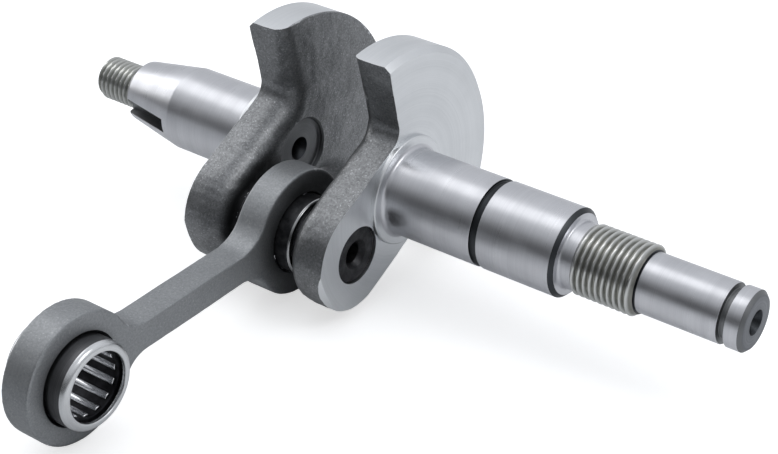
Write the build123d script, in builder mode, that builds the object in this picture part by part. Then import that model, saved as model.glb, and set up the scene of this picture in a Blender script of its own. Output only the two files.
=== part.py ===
from build123d import *
import os
from math import cos, radians, sin, tan

# Crankshaft of a small two-stroke engine: two forged halves pressed on to a
# hollow crankpin, with the connecting rod and both of its needle bearings.
# The crank axis is X, with +X towards the clutch end.  The origin is on that
# axis, midway between the webs, and +Z is up.  All lengths are millimetres.

# Crank layout
throw = 14.5                  # crankpin offset, half of the stroke
throw_angle = 206.0           # direction of the crankpin about X, from +Y
web_inner = 7.25              # |x| of the inner faces of the webs
web_outer = 14.5              # |x| of the outer faces of the webs

# Webs
rim_radius = 24.4             # turned rim of the counterweights
rim_bevel = 1.0
rim_break = 0.2
arm_half_width = 9.7          # straight flanks and round boss of the crank arm
flank_slope = 13.3            # degrees by which the counterweight ends lean out
flank_start = 3.35            # where the flank line leaves the arm, past the axis
flank_reach = 28.0            # the blank runs past the rim and is turned down to it
blank_reach = 30.0
neck_radius = 3.0
forged_edge_radius = 2.0      # rounded inner edges left by the forging die
face_edge_break = 0.25        # outer face edges, left nearly sharp by the facing cut
recess_radius = 5.6           # turning recess round the inner centre hole
recess_depth = 0.8

# Shoulder and main journals, sized for 15 mm bearings
shoulder_radius = 9.5
shoulder_height = 0.9
shoulder_edge = 0.25
journal_radius = 7.5
journal_root = 0.6

# Clutch end
ring_groove_start = 32.3
ring_groove_width = 1.35
ring_groove_depth = 0.55
clutch_journal_end = 47.8
journal_end_break = 0.7
clutch_neck_radius = 5.6      # plain neck between the journal's end face and the thread
clutch_neck_root = 0.5
clutch_thread_start = 50.0
clutch_thread_end = 61.0
clutch_thread_radius = 5.95   # M12 x 1, left-hand
stub_radius = 5.0             # seat of the clutch drum bearing, 10 mm
clip_groove_start = 74.9
clip_groove_width = 1.2
clip_groove_radius = 4.0
clutch_end = 79.0
end_break = 0.6

# Flywheel end
flywheel_journal_end = 32.0
taper_end = 43.6
taper_end_radius = 5.55
taper_break = 0.45
flywheel_neck_radius = 3.2
flywheel_thread_start = 44.3
flywheel_thread_end = 52.8
flywheel_thread_radius = 3.9  # M8 x 1
flywheel_end_break = 0.4
keyway_angle = 188.5          # direction of the keyway about X, from +Y
keyway_width = 3.0
keyway_floor = 4.05           # distance of the floor from the crank axis
keyway_end = 33.4

# Threads, metric fine, drawn as one ridge per pitch
thread_pitch = 1.0
thread_depth = 0.58
thread_root_flat = 0.12
thread_flank = 30.0

# Centre holes
centre_hole_radius = 1.0
centre_hole_mouth = 2.1
centre_hole_depth = 4.5
centre_hole_angle = 60.0

# Crankpin
pin_radius = 5.0
pin_half_length = 14.1
pin_bore_radius = 1.9
pin_mouth_radius = 2.6
pin_mouth_depth = 0.9
pin_edge = 0.4

# Connecting rod
rod_length = 51.4
rod_angle = 179.4             # direction from the crankpin to the small end, from +Y
rod_thickness = 5.4
big_eye_radius = 11.0
small_eye_radius = 10.8
beam_half_width = 2.5
big_eye_blend = 6.5
small_eye_blend = 5.0
rod_edge_radius = 0.35
big_eye_seat_radius = 7.0     # bores of the eyes
small_eye_seat_radius = 7.2
big_eye_chamfer = 0.3
small_eye_chamfer = 0.5

# Needle bearings, 10 mm inside
big_needle_count = 12
small_needle_count = 14
pocket_clearance = 0.05
needle_end_break = 0.15
big_needle_radius = 0.98
big_needle_length = 5.0
big_needle_pitch_radius = 6.0
big_needle_phase = 15.0
big_cage_inner_radius = 5.1
big_cage_outer_radius = 6.85
big_cage_half_length = 5.7
big_cage_edge = 0.35
big_pocket_length = 5.3
cup_length = 12.6
cup_raceway_radius = 6.5
cup_lip_radius = 5.7
cup_lip_thickness = 0.8
cup_edge_radius = 0.75
cup_lip_edge = 0.2
small_needle_radius = 0.73
small_needle_length = 9.0
small_needle_pitch_radius = 5.75
small_needle_phase = 23.5
small_cage_inner_radius = 5.3
small_cage_outer_radius = 6.4
small_cage_half_length = 5.1
small_pocket_length = 9.2


def direction(angle):
    """Unit vector square to the crank axis, at an angle from +Y towards +Z."""
    return Vector(0, cos(radians(angle)), sin(radians(angle)))


def across(x, angle=0.0, centre=Vector(0, 0, 0)):
    """Plane square to the crank axis at x, its own x axis at an angle from +Y."""
    return Plane(origin=centre + Vector(x, 0, 0), x_dir=direction(angle), z_dir=(1, 0, 0))


def corner(section, x, radius):
    """The vertex of an axial section nearest to a point at x and at a radius."""
    return section.vertices().sort_by_distance((x, radius, 0))[0]


pin_centre = direction(throw_angle) * throw
small_eye_centre = pin_centre + direction(rod_angle) * rod_length


def web():
    """Clutch-side web, facing +X: forged arm and counterweight, turned on its rim."""
    plane = across(web_inner, throw_angle)
    flank_end = -flank_start - (flank_reach - arm_half_width) * tan(radians(flank_slope))
    with BuildPart() as forging:
        with BuildSketch(plane) as outline:
            with BuildLine():
                Polyline(
                    (throw, arm_half_width),
                    (-flank_start, arm_half_width),
                    (flank_end, flank_reach),
                    (-blank_reach, flank_reach),
                    (-blank_reach, -flank_reach),
                    (flank_end, -flank_reach),
                    (-flank_start, -arm_half_width),
                    (throw, -arm_half_width),
                )
                ThreePointArc(
                    (throw, -arm_half_width),
                    (throw + arm_half_width, 0),
                    (throw, arm_half_width),
                )
            make_face()
            for side in (1, -1):
                neck = outline.vertices().sort_by_distance((-flank_start, side * arm_half_width))[0]
                fillet(neck, radius=neck_radius)
        extrude(amount=web_outer - web_inner)
        inner_face = forging.faces().sort_by(Axis.X)[0]
        inner_edges = inner_face.edges().filter_by(
            lambda edge: Vector(0, edge.center().Y, edge.center().Z).length < rim_radius
        )
        fillet(inner_edges, radius=forged_edge_radius)
        outer_face = forging.faces().sort_by(Axis.X)[-1]
        outer_edges = outer_face.edges().filter_by(
            lambda edge: Vector(0, edge.center().Y, edge.center().Z).length < rim_radius
        )
        chamfer(outer_edges, length=face_edge_break)
        with BuildSketch(Plane.XY):
            with BuildLine():
                Polyline(
                    (web_inner, 0),
                    (web_inner, rim_radius - rim_break),
                    (web_inner + rim_break, rim_radius),
                    (web_outer - rim_bevel, rim_radius),
                    (web_outer, rim_radius - rim_bevel),
                    (web_outer, 0),
                    close=True,
                )
            make_face()
        revolve(axis=Axis.X, mode=Mode.INTERSECT)
        with Locations(across(web_inner)):
            Cylinder(
                radius=recess_radius,
                height=recess_depth,
                align=(Align.CENTER, Align.CENTER, Align.MIN),
                mode=Mode.SUBTRACT,
            )
        with Locations(Plane(origin=(web_inner + recess_depth, 0, 0), z_dir=(-1, 0, 0))):
            CounterSinkHole(
                radius=centre_hole_radius,
                counter_sink_radius=centre_hole_mouth,
                depth=centre_hole_depth,
                counter_sink_angle=centre_hole_angle,
            )
    return forging.part


def thread_ridges(start, end, radius):
    """Axial outline of the thread ridges of a given outer radius, from start to end on X."""
    forward = 1 if end > start else -1
    flank = thread_depth * tan(radians(thread_flank))
    crest_flat = thread_pitch - thread_root_flat - 2 * flank
    root = radius - thread_depth
    points = []
    for ridge in range(int(abs(end - start) / thread_pitch)):
        foot = start + forward * ridge * thread_pitch
        points += [
            (foot, root),
            (foot + forward * flank, radius),
            (foot + forward * (flank + crest_flat), radius),
            (foot + forward * (2 * flank + crest_flat), root),
        ]
    return points


def needle_ring(centre, pitch_radius, phase, count):
    """Centres of the needles of one bearing."""
    step = 360.0 / count
    return [centre + direction(phase + step * index) * pitch_radius for index in range(count)]


with BuildPart() as clutch_side_crank_half:
    add(web())
    with BuildSketch(Plane.XY) as clutch_section:
        with BuildLine():
            Polyline(
                (web_outer - shoulder_height, 0),
                (web_outer - shoulder_height, journal_radius),
                (web_outer - shoulder_edge, shoulder_radius),
                (web_outer + shoulder_height, shoulder_radius),
                (web_outer + shoulder_height, journal_radius),
                (ring_groove_start, journal_radius),
                (ring_groove_start, journal_radius - ring_groove_depth),
                (ring_groove_start + ring_groove_width, journal_radius - ring_groove_depth),
                (ring_groove_start + ring_groove_width, journal_radius),
                (clutch_journal_end, journal_radius),
                (clutch_journal_end, clutch_neck_radius),
                (clutch_thread_start, clutch_neck_radius),
                *thread_ridges(clutch_thread_start, clutch_thread_end, clutch_thread_radius),
                (clutch_thread_end, clutch_thread_radius - thread_depth),
                (clutch_thread_end, stub_radius),
                (clip_groove_start, stub_radius),
                (clip_groove_start, clip_groove_radius),
                (clip_groove_start + clip_groove_width, clip_groove_radius),
                (clip_groove_start + clip_groove_width, stub_radius),
                (clutch_end, stub_radius),
                (clutch_end, 0),
                close=True,
            )
        make_face()
        fillet(corner(clutch_section, web_outer + shoulder_height, journal_radius), radius=journal_root)
        fillet(corner(clutch_section, web_outer + shoulder_height, shoulder_radius), radius=shoulder_edge)
        chamfer(corner(clutch_section, clutch_journal_end, journal_radius), length=journal_end_break)
        fillet(corner(clutch_section, clutch_journal_end, clutch_neck_radius), radius=clutch_neck_root)
        chamfer(corner(clutch_section, clutch_end, stub_radius), length=end_break)
    revolve(axis=Axis.X)
    with Locations(Plane(origin=(clutch_end, 0, 0), z_dir=(1, 0, 0))):
        CounterSinkHole(
            radius=centre_hole_radius,
            counter_sink_radius=centre_hole_mouth,
            depth=centre_hole_depth,
            counter_sink_angle=centre_hole_angle,
        )
    with BuildSketch(across(0, centre=pin_centre)):
        Circle(pin_radius)
    extrude(amount=web_outer + shoulder_height, mode=Mode.SUBTRACT)

with BuildPart() as flywheel_side_crank_half:
    add(mirror(web(), about=Plane.YZ, mode=Mode.PRIVATE))
    with BuildSketch(Plane.XY) as flywheel_section:
        with BuildLine():
            Polyline(
                (-web_outer + shoulder_height, 0),
                (-web_outer + shoulder_height, journal_radius),
                (-web_outer + shoulder_edge, shoulder_radius),
                (-web_outer - shoulder_height, shoulder_radius),
                (-web_outer - shoulder_height, journal_radius),
                (-flywheel_journal_end, journal_radius),
                (-taper_end, taper_end_radius),
                (-taper_end, flywheel_neck_radius),
                (-flywheel_thread_start, flywheel_neck_radius),
                *thread_ridges(-flywheel_thread_start, -flywheel_thread_end, flywheel_thread_radius),
                (-flywheel_thread_end, flywheel_thread_radius - thread_depth),
                (-flywheel_thread_end, 0),
                close=True,
            )
        make_face()
        fillet(corner(flywheel_section, -web_outer - shoulder_height, journal_radius), radius=journal_root)
        fillet(corner(flywheel_section, -web_outer - shoulder_height, shoulder_radius), radius=shoulder_edge)
        chamfer(corner(flywheel_section, -taper_end, taper_end_radius), length=taper_break)
        chamfer(
            corner(flywheel_section, -flywheel_thread_end, flywheel_thread_radius - thread_depth),
            length=flywheel_end_break,
        )
    revolve(axis=Axis.X)
    keyway_plane = Plane(
        origin=direction(keyway_angle) * keyway_floor, x_dir=(1, 0, 0), z_dir=direction(keyway_angle)
    )
    with BuildSketch(keyway_plane):
        with Locations((-keyway_end, 0)):
            Rectangle(
                flywheel_thread_start - keyway_end, keyway_width, align=(Align.MAX, Align.CENTER)
            )
    extrude(amount=journal_radius, mode=Mode.SUBTRACT)
    with Locations(Plane(origin=(-flywheel_thread_end, 0, 0), z_dir=(-1, 0, 0))):
        CounterSinkHole(
            radius=centre_hole_radius,
            counter_sink_radius=centre_hole_mouth,
            depth=centre_hole_depth,
            counter_sink_angle=centre_hole_angle,
        )
    with BuildSketch(across(0, centre=pin_centre)):
        Circle(pin_radius)
    extrude(amount=-web_outer - shoulder_height, mode=Mode.SUBTRACT)

with BuildPart() as crankpin:
    with BuildSketch(across(-pin_half_length, centre=pin_centre)):
        Circle(pin_radius)
        Circle(pin_bore_radius, mode=Mode.SUBTRACT)
    extrude(amount=2 * pin_half_length)
    end_edges = crankpin.edges().filter_by(GeomType.CIRCLE)
    chamfer(end_edges.filter_by(lambda edge: edge.radius > pin_bore_radius), length=pin_edge)
    bore_edges = crankpin.edges().filter_by(GeomType.CIRCLE).filter_by(
        lambda edge: abs(edge.radius - pin_bore_radius) < pin_edge / 2
    )
    chamfer(bore_edges, length=pin_mouth_radius - pin_bore_radius, length2=pin_mouth_depth)

with BuildPart() as connecting_rod:
    with BuildSketch(across(-rod_thickness / 2, rod_angle, pin_centre)) as rod_outline:
        Circle(big_eye_radius)
        with Locations((rod_length, 0)):
            Circle(small_eye_radius)
        with Locations((rod_length / 2, 0)):
            Rectangle(rod_length, 2 * beam_half_width)
        along = rod_outline.vertices().sort_by(Axis.X)
        beam_starts = along.filter_by(lambda vertex: big_eye_radius / 2 < vertex.X < rod_length / 2)
        beam_ends = along.filter_by(lambda vertex: rod_length / 2 < vertex.X < rod_length)
        fillet(beam_starts, radius=big_eye_blend)
        fillet(beam_ends, radius=small_eye_blend)
    extrude(amount=rod_thickness)
    rod_faces = connecting_rod.faces().sort_by(Axis.X)
    fillet(rod_faces[0].edges() + rod_faces[-1].edges(), radius=rod_edge_radius)
    with BuildSketch(across(-rod_thickness / 2, rod_angle, pin_centre)):
        Circle(big_eye_seat_radius)
        with Locations((rod_length, 0)):
            Circle(small_eye_seat_radius)
    extrude(amount=rod_thickness, mode=Mode.SUBTRACT)
    bores = connecting_rod.edges().filter_by(GeomType.CIRCLE).filter_by(
        lambda edge: edge.radius < small_eye_seat_radius + rod_edge_radius / 2
    )
    big_eye_bore = bores.sort_by_distance(pin_centre)[:2]
    small_eye_bore = bores.sort_by_distance(small_eye_centre)[:2]
    chamfer(big_eye_bore, length=big_eye_chamfer)
    chamfer(small_eye_bore, length=small_eye_chamfer)

big_needle_centres = needle_ring(pin_centre, big_needle_pitch_radius, big_needle_phase, big_needle_count)
with BuildPart() as big_end_cage:
    with BuildSketch(across(-big_cage_half_length, centre=pin_centre)):
        Circle(big_cage_outer_radius)
        Circle(big_cage_inner_radius, mode=Mode.SUBTRACT)
    extrude(amount=2 * big_cage_half_length)
    outer_rims = big_end_cage.edges().filter_by(GeomType.CIRCLE).filter_by(
        lambda edge: edge.radius > big_needle_pitch_radius
    )
    fillet(outer_rims, radius=big_cage_edge)
    for centre in big_needle_centres:
        with BuildSketch(across(-big_pocket_length / 2, centre=centre)):
            Circle(big_needle_radius + pocket_clearance)
        extrude(amount=big_pocket_length, mode=Mode.SUBTRACT)

with BuildPart() as small_end_cup:
    with BuildSketch(across(-cup_length / 2, centre=small_eye_centre)):
        Circle(small_eye_seat_radius)
        Circle(cup_lip_radius, mode=Mode.SUBTRACT)
    extrude(amount=cup_length)
    rims = small_end_cup.edges().filter_by(GeomType.CIRCLE)
    fillet(rims.filter_by(lambda edge: edge.radius > cup_raceway_radius), radius=cup_edge_radius)
    lips = small_end_cup.edges().filter_by(GeomType.CIRCLE).filter_by(
        lambda edge: edge.radius < cup_raceway_radius - cup_lip_edge
    )
    fillet(lips.filter_by(lambda edge: abs(edge.radius - cup_lip_radius) < cup_lip_edge), radius=cup_lip_edge)
    raceway_half = cup_length / 2 - cup_lip_thickness
    with BuildSketch(across(-raceway_half, centre=small_eye_centre)):
        Circle(cup_raceway_radius)
    extrude(amount=2 * raceway_half, mode=Mode.SUBTRACT)

small_needle_centres = needle_ring(
    small_eye_centre, small_needle_pitch_radius, small_needle_phase, small_needle_count
)
with BuildPart() as small_end_cage:
    with BuildSketch(across(-small_cage_half_length, centre=small_eye_centre)):
        Circle(small_cage_outer_radius)
        Circle(small_cage_inner_radius, mode=Mode.SUBTRACT)
    extrude(amount=2 * small_cage_half_length)
    for centre in small_needle_centres:
        with BuildSketch(across(-small_pocket_length / 2, centre=centre)):
            Circle(small_needle_radius + pocket_clearance)
        extrude(amount=small_pocket_length, mode=Mode.SUBTRACT)

os.makedirs("parts", exist_ok=True)

clutch_side_crank_half.part.label = "clutch_side_crank_half"
export_step(clutch_side_crank_half.part, "parts/clutch_side_crank_half.step")
flywheel_side_crank_half.part.label = "flywheel_side_crank_half"
export_step(flywheel_side_crank_half.part, "parts/flywheel_side_crank_half.step")
crankpin.part.label = "crankpin"
export_step(crankpin.part, "parts/crankpin.step")
connecting_rod.part.label = "connecting_rod"
export_step(connecting_rod.part, "parts/connecting_rod.step")
big_end_cage.part.label = "big_end_cage"
export_step(big_end_cage.part, "parts/big_end_cage.step")
small_end_cup.part.label = "small_end_cup"
export_step(small_end_cup.part, "parts/small_end_cup.step")
small_end_cage.part.label = "small_end_cage"
export_step(small_end_cage.part, "parts/small_end_cage.step")

for index, centre in enumerate(big_needle_centres, start=1):
    with BuildPart() as big_end_needle:
        with BuildSketch(across(-big_needle_length / 2, centre=centre)):
            Circle(big_needle_radius)
        extrude(amount=big_needle_length)
        chamfer(big_end_needle.edges().filter_by(GeomType.CIRCLE), length=needle_end_break)
    big_end_needle.part.label = f"big_end_needle_{index:02d}"
    export_step(big_end_needle.part, f"parts/{big_end_needle.part.label}.step")

for index, centre in enumerate(small_needle_centres, start=1):
    with BuildPart() as small_end_needle:
        with BuildSketch(across(-small_needle_length / 2, centre=centre)):
            Circle(small_needle_radius)
        extrude(amount=small_needle_length)
        chamfer(small_end_needle.edges().filter_by(GeomType.CIRCLE), length=needle_end_break)
    small_end_needle.part.label = f"small_end_needle_{index:02d}"
    export_step(small_end_needle.part, f"parts/{small_end_needle.part.label}.step")
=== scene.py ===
from math import acos, atan2, ceil, cos, hypot, pi, radians, sin, tan

import bmesh
import bpy
import numpy as np
from mathutils import Matrix, Vector, noise


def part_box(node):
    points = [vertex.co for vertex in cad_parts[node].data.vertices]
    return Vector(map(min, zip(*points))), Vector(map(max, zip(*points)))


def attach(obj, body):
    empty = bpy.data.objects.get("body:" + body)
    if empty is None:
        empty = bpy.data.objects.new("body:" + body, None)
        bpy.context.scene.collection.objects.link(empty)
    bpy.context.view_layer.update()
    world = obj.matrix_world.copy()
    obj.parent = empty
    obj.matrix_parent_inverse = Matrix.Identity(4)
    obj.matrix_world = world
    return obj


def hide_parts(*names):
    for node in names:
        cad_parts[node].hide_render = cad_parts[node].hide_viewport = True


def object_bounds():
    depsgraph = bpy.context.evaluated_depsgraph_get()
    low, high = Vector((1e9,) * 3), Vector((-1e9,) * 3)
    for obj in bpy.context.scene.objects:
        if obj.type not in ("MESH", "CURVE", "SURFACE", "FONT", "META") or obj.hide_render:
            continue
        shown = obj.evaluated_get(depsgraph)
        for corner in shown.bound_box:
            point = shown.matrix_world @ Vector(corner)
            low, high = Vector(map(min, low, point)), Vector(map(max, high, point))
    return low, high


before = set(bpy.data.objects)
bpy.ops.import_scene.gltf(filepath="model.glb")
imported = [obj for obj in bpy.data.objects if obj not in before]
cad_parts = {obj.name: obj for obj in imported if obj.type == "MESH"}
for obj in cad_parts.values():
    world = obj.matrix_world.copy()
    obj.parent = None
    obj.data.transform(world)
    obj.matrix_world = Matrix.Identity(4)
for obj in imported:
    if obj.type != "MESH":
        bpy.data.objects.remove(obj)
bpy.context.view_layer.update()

MM = 0.001
CLUTCH, FLYWHEEL = 1, -1      # sides of the crank, as signs of x


def middle_and_half(node):
    """Centre and half size of a CAD node, in millimetres."""
    low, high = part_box(node)
    return (low + high) / 2 / MM, (high - low) / 2 / MM


# Places and sizes read from the frame
pin_middle, pin_half = middle_and_half("crankpin")
cup_middle, cup_half = middle_and_half("small_end_cup")
clutch_low, clutch_high = [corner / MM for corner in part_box("clutch_side_crank_half")]
flywheel_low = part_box("flywheel_side_crank_half")[0] / MM
rod_half = middle_and_half("connecting_rod")[1]
big_cage_half = middle_and_half("big_end_cage")[1]
small_cage_half = middle_and_half("small_end_cage")[1]
small_seat_radius = cup_half.y
crank_centre = (0.0, 0.0)
pin_centre = (pin_middle.y, pin_middle.z)
eye_centre = (cup_middle.y, cup_middle.z)
throw = hypot(*pin_centre)
throw_angle = atan2(pin_centre[1], pin_centre[0])
rod_length = hypot(eye_centre[0] - pin_centre[0], eye_centre[1] - pin_centre[1])
rod_angle = atan2(eye_centre[1] - pin_centre[1], eye_centre[0] - pin_centre[0])
web_inner = clutch_low.x
rim_radius = clutch_high.z
clutch_end = clutch_high.x
flywheel_end = -flywheel_low.x

# Webs
web_outer = 14.5
rim_bevel = 1.0
rim_break = 0.2
arm_half_width = 9.7
flank_slope = radians(13.3)
flank_start = 3.35
neck_radius = 3.0
blank_reach = 28.0            # the blank before turning, past the rim
blank_corner = 4.0
blank_outer = 15.6
parting_line = 11.3           # distance of the forging's ridge from the crank's middle
outer_draft = radians(2.0)
inner_draft = {CLUTCH: (radians(1.5), radians(3.0)), FLYWHEEL: (radians(3.0), radians(5.0))}
inner_radius = {CLUTCH: (1.2, 2.6), FLYWHEEL: (2.3, 3.9)}   # at the counterweight, at the arm
recess_radius = 5.6
recess_depth = 0.8
recess_chamfer = 0.3
blank_voxel = 0.34
arm_starts = -7.0             # where the counterweight's rounding starts to turn into the arm's
arm_fades_in = 6.0
forging_grain = ((5.0, 0.16), (1.2, 0.05))    # layers of (size, height)
forging_seed = {CLUTCH: 11.3, FLYWHEEL: 47.1}
pin_bore_reach = (5.0, 17.0)

# Shafts
shoulder_radius = 9.5
shoulder_height = 0.9
shoulder_edge = 0.3
journal_radius = 7.5
journal_root = 0.85
ring_groove = (32.3, 33.65)
ring_groove_radius = 6.95
journal_end = 47.8
journal_end_break = 0.7
clutch_neck_radius = 5.6
clutch_neck_root = 0.5
clutch_thread = (50.0, 60.9)
clutch_relief = (60.95, 61.15)   # undercut between the thread and the stub
clutch_relief_radius = 4.85
clutch_thread_radius = 5.95
stub_radius = 5.0
clip_groove = (74.9, 76.1)
clip_groove_radius = 4.0
end_break = 0.6
taper = (32.0, 43.6)
taper_end_radius = 5.55
taper_break = 0.45
flywheel_neck_radius = 3.2
flywheel_thread = (44.3, flywheel_end)
flywheel_thread_radius = 3.9
thread_pitch = 1.067
thread_depth = 0.55
clutch_first_crest = 48.86    # x of a crest at angle 0
flywheel_first_crest = -44.3
groove_gain = 1.25            # shape of a thread groove, which starts as a cosine
crest_flat = 0.14
run_in = 1.5                  # how fast the thread starts and ends, per pitch
run_out = 12.0
keyway_angle = radians(188.5)
keyway_half_width = 1.5
keyway_floor = 4.05
keyway_end = 33.4
keyway_break = 0.16
keyway_overrun = 0.8          # the cutter leaves past the small end of the taper
keyway_tool_reach = 9.0
keyway_shade_top = 7.0        # the keyway's walls take the painted shade steel up to here
centre_hole = (1.0, 2.1, 4.5)    # radius, radius of its mouth, depth
centre_hole_angle = radians(60)
centre_hole_tip = 0.6

# Crankpin
pin_radius = pin_half.y
pin_bore_radius = 1.9
pin_mouth_radius = 2.6
pin_mouth_depth = 0.9
pin_edge = 0.4

# Connecting rod
big_eye_radius = 11.0
small_eye_radius = 10.8
beam_half_width = 2.5
big_eye_blend = 6.5
small_eye_blend = 5.0
rod_edge = 0.22
rod_voxel = 0.23
rod_grain = ((6.0, 0.03), (0.9, 0.016))
rod_seed = 5.7
big_seat_radius = 7.0
big_eye_chamfer = 0.1
small_eye_chamfer = 0.5

# Needle bearings
needle_count = {"big": 12, "small": 14}
big_needle_pitch_radius = 6.0
small_needle_pitch_radius = 5.75
big_needle_phase = radians(15.0)
small_needle_phase = radians(23.5)
pocket_clearance = 0.05
big_cage_inner = 5.1
small_cage_inner = 5.3
cage_edge = 0.5
inner_cage_edge = 0.1
cup_lip_radius = 5.7
cup_lip_thickness = 0.8
cup_raceway_radius = 6.5
cup_edge = 1.1
cup_lip_edge = 0.22

# Finish
painted_shade_reach = 7.0            # how far the painted shade reaches in from a corner


# ---------------------------------------------------------------- mesh tools

def rounded(corners, closed=False, turn=radians(9)):
    """A polyline through corners (x, y, radius), each one rounded by an arc of its radius."""
    count = len(corners)
    points = []
    for index, (x, y, radius) in enumerate(corners):
        here = np.array((x, y), float)
        if radius == 0:
            points.append(here)
            continue
        back = np.array(corners[index - 1][:2]) - here
        ahead = np.array(corners[(index + 1) % count][:2]) - here
        back /= np.linalg.norm(back)
        ahead /= np.linalg.norm(ahead)
        half = acos(np.clip(back @ ahead, -1, 1)) / 2
        inward = (back + ahead) / np.linalg.norm(back + ahead)
        centre = here + inward * radius / sin(half)
        arm = here + back * radius / tan(half) - centre
        sweep = pi - 2 * half
        other = here + ahead * radius / tan(half) - centre
        if arm[0] * other[1] - arm[1] * other[0] < 0:
            sweep = -sweep
        steps = max(2, ceil(abs(sweep) / turn))
        for step in range(steps + 1):
            angle = sweep * step / steps
            spun = (arm[0] * cos(angle) - arm[1] * sin(angle), arm[0] * sin(angle) + arm[1] * cos(angle))
            points.append(centre + spun)
    kept = [points[0]]
    for point in points[1:]:
        if np.linalg.norm(point - kept[-1]) > 1e-4:
            kept.append(point)
    if closed and np.linalg.norm(kept[0] - kept[-1]) < 1e-4:
        kept.pop()
    return np.array(kept)


def dense(points, step, closed=False):
    """The same polyline with its long lines divided."""
    ends = np.roll(points, -1, axis=0) if closed else points[1:]
    out = []
    for a, b in zip(points, ends):
        parts = max(1, ceil(np.linalg.norm(b - a) / step))
        out += [a + (b - a) * k / parts for k in range(parts)]
    if not closed:
        out.append(points[-1])
    return np.array(out)


def new_object(name, points, faces):
    """An object from points in millimetres, with its faces turned outward."""
    mesh = bpy.data.meshes.new(name)
    mesh.from_pydata([tuple(point) for point in points], [], faces)
    made = bmesh.new()
    made.from_mesh(mesh)
    bmesh.ops.recalc_face_normals(made, faces=made.faces)
    made.to_mesh(mesh)
    made.free()
    obj = bpy.data.objects.new(name, mesh)
    bpy.context.scene.collection.objects.link(obj)
    return obj


def lathe(name, profile, centre=crank_centre, segments=96, closed=False, thread=None):
    """Turns a profile of (x, radius) about a line along X.

    thread is None or (start, end, crest, pitch, depth, hand).
    """
    x = np.asarray(profile)[:, 0]
    radius = np.asarray(profile)[:, 1]
    angle = np.arange(segments) * 2 * pi / segments
    reach = np.repeat(radius[:, None], segments, axis=1)
    if thread:
        start, end, crest, pitch, depth, hand = thread
        phase = (x[:, None] - crest) / pitch - hand * angle[None, :] / (2 * pi)
        groove = 0.5 - 0.5 * np.cos(2 * pi * phase)
        groove = np.clip(groove * groove_gain - crest_flat, 0, 1)
        fade_in = np.clip((x - start) / pitch * run_in, 0, 1)
        fade = fade_in * np.clip((end - x) / pitch * run_out, 0, 1)
        reach = reach - depth * groove * fade[:, None]
    points = []
    faces = []
    ring_start = []
    for index in range(len(x)):
        ring_start.append(len(points))
        if radius[index] < 1e-6:
            points.append((x[index], centre[0], centre[1]))
            continue
        for j in range(segments):
            r = reach[index, j]
            points.append((x[index], centre[0] + r * cos(angle[j]), centre[1] + r * sin(angle[j])))
    pairs = list(zip(range(len(x) - 1), range(1, len(x))))
    if closed:
        pairs.append((len(x) - 1, 0))
    for a, b in pairs:
        for j in range(segments):
            k = (j + 1) % segments
            ring_a = [ring_start[a] + j, ring_start[a] + k] if radius[a] > 1e-6 else [ring_start[a]]
            ring_b = [ring_start[b] + k, ring_start[b] + j] if radius[b] > 1e-6 else [ring_start[b]]
            if len(ring_a) + len(ring_b) > 2:
                faces.append(ring_a + ring_b)
    return new_object(name, points, faces)


def loft_faces(rings, count):
    """Faces of a solid made of closed rings of count points: its two ends, then its sides."""
    faces = [list(range(count)), list(range((rings - 1) * count, rings * count))]
    for near in range(0, (rings - 1) * count, count):
        for k in range(count):
            nxt = (k + 1) % count
            faces.append([near + k, near + nxt, near + count + nxt, near + count + k])
    return faces


def freeze(obj):
    """Applies an object's modifiers."""
    graph = bpy.context.evaluated_depsgraph_get()
    obj.data = bpy.data.meshes.new_from_object(obj.evaluated_get(graph))
    obj.modifiers.clear()
    return obj


def combine(obj, other, operation):
    """Cuts, joins or trims obj with another object, which is used up."""
    boolean = obj.modifiers.new("boolean", "BOOLEAN")
    boolean.operation = operation
    boolean.object = other
    boolean.solver = "MANIFOLD"
    freeze(obj)
    bpy.data.objects.remove(other)
    if len(obj.data.polygons) == 0:
        raise RuntimeError(f"{operation} left nothing of {obj.name}")
    return obj


def remesh(obj, voxel, smoothing):
    """Gives a rough solid an even skin, rounding its edges as forging does."""
    skin = obj.modifiers.new("skin", "REMESH")
    skin.mode = "VOXEL"
    skin.voxel_size = voxel
    freeze(obj)
    smooth = obj.modifiers.new("smooth", "SMOOTH")
    smooth.factor = 0.5
    smooth.iterations = smoothing
    return freeze(obj)


def roughen(obj, layers, seed):
    """Moves each point along its normal by layers of noise, each (size, height)."""
    mesh = obj.data
    count = len(mesh.vertices)
    place = np.zeros(count * 3, np.float32)
    normal = np.zeros(count * 3, np.float32)
    mesh.vertices.foreach_get("co", place)
    mesh.vertex_normals.foreach_get("vector", normal)
    place = place.reshape(-1, 3)
    normal = normal.reshape(-1, 3)
    shift = np.zeros(count)
    for size, height in layers:
        at = place / size + seed
        shift += height * np.array([noise.noise(Vector(point)) for point in at.tolist()])
    mesh.vertices.foreach_set("co", (place + normal * shift[:, None]).astype(np.float32).ravel())
    mesh.update()
    return obj


def paint(obj, materials, choose):
    """Gives each face the material whose index choose(centres, normals) returns."""
    mesh = obj.data
    count = len(mesh.polygons)
    centre = np.zeros(count * 3, np.float32)
    normal = np.zeros(count * 3, np.float32)
    mesh.polygons.foreach_get("center", centre)
    mesh.polygons.foreach_get("normal", normal)
    mesh.materials.clear()
    for material in materials:
        mesh.materials.append(material)
    index = choose(centre.reshape(-1, 3), normal.reshape(-1, 3))
    mesh.polygons.foreach_set("material_index", index.astype(np.int32))


def finish_piece(obj, body, nodes, sharp=radians(32)):
    """Brings a piece to metres, shades it and hangs it on its body in place of its CAD nodes."""
    mesh = obj.data
    mesh.transform(Matrix.Scale(MM, 4))
    mesh.polygons.foreach_set("use_smooth", np.ones(len(mesh.polygons), bool))
    mesh.set_sharp_from_angle(angle=sharp)
    mesh.update()
    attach(obj, body)
    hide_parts(*nodes)
    return obj


# ---------------------------------------------------------------- material tools

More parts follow.
